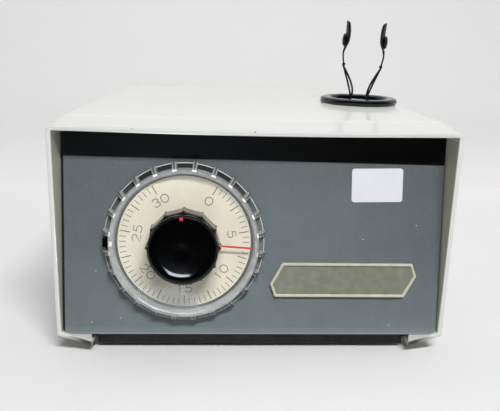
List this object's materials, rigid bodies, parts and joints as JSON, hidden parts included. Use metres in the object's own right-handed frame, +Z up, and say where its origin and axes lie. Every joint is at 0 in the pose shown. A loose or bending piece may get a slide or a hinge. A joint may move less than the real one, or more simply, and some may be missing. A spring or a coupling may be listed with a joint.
{
  "type": "dental amalgamator",
  "caption": "Bench capsule mixer: white hood, leaning grey panel with a clear preset dial and black start knob, and a spring fork shaken by a skewed motor journal.",
  "frame": {"origin": "middle of the part's box, on the surface that the feet stand on", "axes": "+Z up, the front panel faces -Y, +X to the right of someone facing the panel"},
  "size_m": [0.24, 0.282, 0.2035],
  "materials": {
    "hood_white": "glossy moulded plastic",
    "tray_black": "dark baked enamel",
    "panel_grey": "satin grey paint, slightly mottled",
    "plated_steel": "zinc plated",
    "bare_steel": "rolled sheet steel",
    "black_rubber": "smooth black rubber",
    "plate_beige": "beige rim, olive grey field",
    "label_white": "blank white sticker",
    "scale_cream": "cream with a dark scale",
    "brass": "turned brass",
    "timer_zinc": "passivated sheet steel",
    "dark_phenolic": "moulded phenolic",
    "clear_acrylic": "clear moulded acrylic",
    "pointer_red": "red inlay",
    "knob_black": "glossy black moulding",
    "lamination": "varnished steel laminations",
    "winding_copper": "varnished copper wire",
    "cast_alloy": "die cast",
    "ground_steel": "ground",
    "fan_grey": "moulded",
    "nickel": "nickel plated",
    "spring_black": "blackened spring steel",
    "can_alloy": "drawn can",
    "block_cream": "moulded"
  },
  "bodies": {
    "case": {"hood": "hood_white", "base_pan": "tray_black", "front_panel": "panel_grey", "panel_stays": "bare_steel", "panel_screws": "plated_steel", "rear_plate": "bare_steel", "rear_plate_screws": "plated_steel", "cord_gland": "black_rubber", "feet": "black_rubber", "hood_screws": "plated_steel", "grommet": "black_rubber", "name_plate": "plate_beige", "blank_label": "label_white", "scale_disc": "scale_cream", "timer_case": "timer_zinc", "timer_cover": "bare_steel", "timer_bush": "brass", "timer_nut": "brass", "timer_switch": "dark_phenolic", "vibration_mounts": "black_rubber", "motor_cradle": "bare_steel", "motor_straps": "bare_steel", "stator": "lamination", "stator_windings": "winding_copper", "left_end_bell": "cast_alloy", "right_end_bell": "cast_alloy", "motor_bearings": "ground_steel", "tie_bolts": "plated_steel", "tail_guide": "black_rubber", "capacitor": "can_alloy", "capacitor_clip": "plated_steel", "terminal_block": "block_cream"},
    "preset": {"preset_dial": "clear_acrylic", "preset_pointer": "pointer_red", "preset_sleeve": "brass"},
    "starter": {"start_knob": "knob_black", "knob_cap": "knob_black", "knob_dot": "pointer_red", "knob_set_screw": "plated_steel", "timer_spindle": "ground_steel", "main_wheel": "brass", "mainspring": "spring_black"},
    "escapement": {"escape_wheel": "brass"},
    "rotor": {"motor_shaft": "ground_steel", "rotor_core": "lamination", "cooling_fan": "fan_grey", "balance_weight": "bare_steel", "skew_journal": "ground_steel"},
    "fork": {"fork_bearing": "ground_steel", "fork_hub": "cast_alloy", "fork_post": "ground_steel", "fork_clamp": "nickel"},
    "left_arm": {"left_arm_wires": "spring_black", "left_jaw": "spring_black"},
    "right_arm": {"right_arm_wires": "spring_black", "right_jaw": "spring_black"}
  },
  "joints": [
    {"name": "preset_turn", "type": "hinge", "parent": "case", "child": "preset", "pos_m": [-0.0425, -0.11064, 0.07046], "axis": [0, 0.9925, -0.1219], "range_deg": [-63.8, 236.2]},
    {"name": "start_turn", "type": "hinge", "parent": "case", "child": "starter", "pos_m": [-0.0425, -0.11064, 0.07046], "axis": [0, 0.9925, -0.1219], "range_deg": [0, 300], "stiffness_Nm_per_rad": 0.02},
    {"name": "escape_turn", "type": "hinge", "parent": "case", "child": "escapement", "pos_m": [-0.02726, -0.11064, 0.07046], "axis": [0, 0.9925, -0.1219], "range_deg": [-1200, 0]},
    {"name": "motor_spin", "type": "hinge", "parent": "case", "child": "rotor", "pos_m": [0.08, 0.00253, 0.072], "axis": [0.9511, -0.309, 0], "continuous": true},
    {"name": "journal_turn", "type": "hinge", "parent": "rotor", "child": "fork", "pos_m": [0.08, 0.00253, 0.072], "axis": [0.9714, -0.234, -0.0396], "continuous": true},
    {"name": "left_arm_flex", "type": "hinge", "parent": "fork", "child": "left_arm", "pos_m": [0.07731, 0.00307, 0.13916], "axis": [-0.2342, -0.9722, -0.0015], "range_deg": [0, 6], "stiffness_Nm_per_rad": 0.8},
    {"name": "right_arm_flex", "type": "hinge", "parent": "fork", "child": "right_arm", "pos_m": [0.0878, 0.00055, 0.13873], "axis": [0.2342, 0.9722, 0.0015], "range_deg": [0, 6], "stiffness_Nm_per_rad": 0.8}
  ],
  "couplings": [
    {"joint": "escape_turn", "follows": "start_turn", "ratio": -4},
    {"joint": "journal_turn", "follows": "motor_spin", "ratio": -1}
  ]
}
